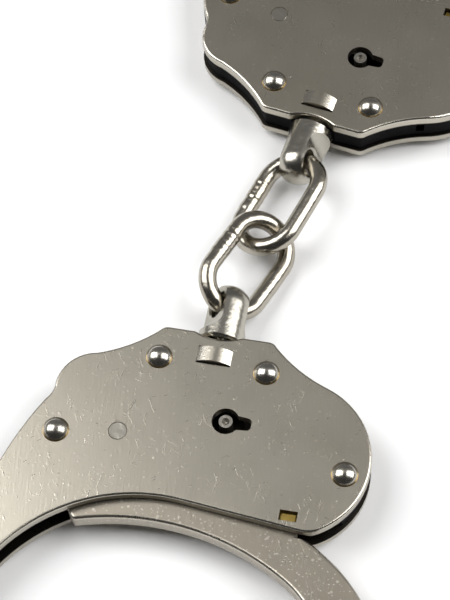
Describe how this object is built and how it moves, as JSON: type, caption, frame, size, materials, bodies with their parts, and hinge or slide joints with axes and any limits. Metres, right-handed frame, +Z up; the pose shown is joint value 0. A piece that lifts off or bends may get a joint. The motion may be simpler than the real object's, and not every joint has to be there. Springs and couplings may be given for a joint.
{
  "type": "handcuffs",
  "caption": "Double-locking chain handcuffs: swing-through ratchet cuffs with riveted cheek plates, joined by swivels and welded links.",
  "frame": {"origin": "middle of the footprint, on the surface that the rivet heads rest on", "axes": "+Z up out of the cuffs' faces, +Y along the pair from one cuff to the other, +X across"},
  "size_m": [0.1524, 0.236, 0.012],
  "materials": {
    "cheek_plate": "satin nickel plate, finely grained, edges rubbed bright",
    "arm": "satin nickel plate with fine speckle and scratches",
    "rivet": "polished nickel-plated rivet heads",
    "lock_frame": "matt black oxide",
    "lock_steel": "plain hardened steel, lightly oiled",
    "spring": "blued spring steel",
    "guide": "dull brass",
    "swivel": "turned and nickel-plated, bright",
    "link": "drawn wire, welded and nickel-plated, slightly rough at the weld"
  },
  "bodies": {
    "cuff_a": {"front_cheek_plate_a": "cheek_plate", "rear_cheek_plate_a": "cheek_plate", "lock_frame_a": "lock_frame", "cheek_rivets_a": "rivet", "hinge_rivet_a": "rivet", "key_post_a": "rivet", "pawl_pin_a": "rivet", "pawl_spring_a": "spring", "double_lock_spring_a": "spring", "mouth_guide_a": "guide"},
    "arm_a": {"ratchet_arm_a": "arm"},
    "pawl_a": {"pawl_a": "lock_steel"},
    "double_lock_a": {"double_lock_bar_a": "lock_steel"},
    "swivel_a": {"swivel_a": "swivel"},
    "link_a": {"chain_link_a": "link"},
    "cuff_b": {"front_cheek_plate_b": "cheek_plate", "rear_cheek_plate_b": "cheek_plate", "lock_frame_b": "lock_frame", "cheek_rivets_b": "rivet", "hinge_rivet_b": "rivet", "key_post_b": "rivet", "pawl_pin_b": "rivet", "pawl_spring_b": "spring", "double_lock_spring_b": "spring", "mouth_guide_b": "guide"},
    "arm_b": {"ratchet_arm_b": "arm"},
    "pawl_b": {"pawl_b": "lock_steel"},
    "double_lock_b": {"double_lock_bar_b": "lock_steel"},
    "swivel_b": {"swivel_b": "swivel"},
    "link_b": {"chain_link_b": "link"}
  },
  "joints": [
    {"name": "swivel_a_spin", "type": "hinge", "parent": "cuff_a", "child": "swivel_a", "pos_m": [-0.01105, -0.02516, 0.006], "axis": [0.2627, 0.9649, 0], "continuous": true},
    {"name": "link_a_swing", "type": "hinge", "parent": "swivel_a", "child": "link_a", "pos_m": [-0.00891, -0.0173, 0.006], "axis": [0.8174, -0.2225, -0.5314], "range_deg": [-55, 55]},
    {"name": "link_b_swing", "type": "hinge", "parent": "link_a", "child": "link_b", "pos_m": [0.0018, 0.00036, 0.00514], "axis": [0.6546, -0.5371, -0.532], "range_deg": [-18, 25]},
    {"name": "swivel_b_swing", "type": "hinge", "parent": "link_b", "child": "swivel_b", "pos_m": [0.00795, 0.01443, 0.006], "axis": [0.8525, -0.379, 0.36], "range_deg": [-55, 55]},
    {"name": "cuff_b_spin", "type": "hinge", "parent": "swivel_b", "child": "cuff_b", "pos_m": [0.01126, 0.02188, 0.006], "axis": [-0.4063, -0.9138, 0], "continuous": true},
    {"name": "arm_a_hinge", "type": "hinge", "parent": "cuff_a", "child": "arm_a", "pos_m": [-0.03833, -0.10671, 0.006], "axis": [0, 0, 1], "range_deg": [-315, 15]},
    {"name": "pawl_a_pivot", "type": "hinge", "parent": "cuff_a", "child": "pawl_a", "pos_m": [-0.03116, -0.04306, 0.006], "axis": [0, 0, 1], "range_deg": [0, 4.5], "stiffness_Nm_per_rad": 0.05, "springref_deg": -22.92, "deforming": ["pawl_spring_a"]},
    {"name": "double_lock_a_slide", "type": "slide", "parent": "cuff_a", "child": "double_lock_a", "axis": [0.9649, -0.2627, 0], "range_m": [-0.003, 0]},
    {"name": "arm_b_hinge", "type": "hinge", "parent": "cuff_b", "child": "arm_b", "pos_m": [0.04166, 0.10231, 0.006], "axis": [0, 0, -1], "range_deg": [-315, 15]},
    {"name": "pawl_b_pivot", "type": "hinge", "parent": "cuff_b", "child": "pawl_b", "pos_m": [0.00699, 0.04845, 0.006], "axis": [0, 0, -1], "range_deg": [0, 4.5], "stiffness_Nm_per_rad": 0.05, "springref_deg": -22.92, "deforming": ["pawl_spring_b"]},
    {"name": "double_lock_b_slide", "type": "slide", "parent": "cuff_b", "child": "double_lock_b", "axis": [0.9138, -0.4063, 0], "range_m": [-0.003, 0]}
  ]
}
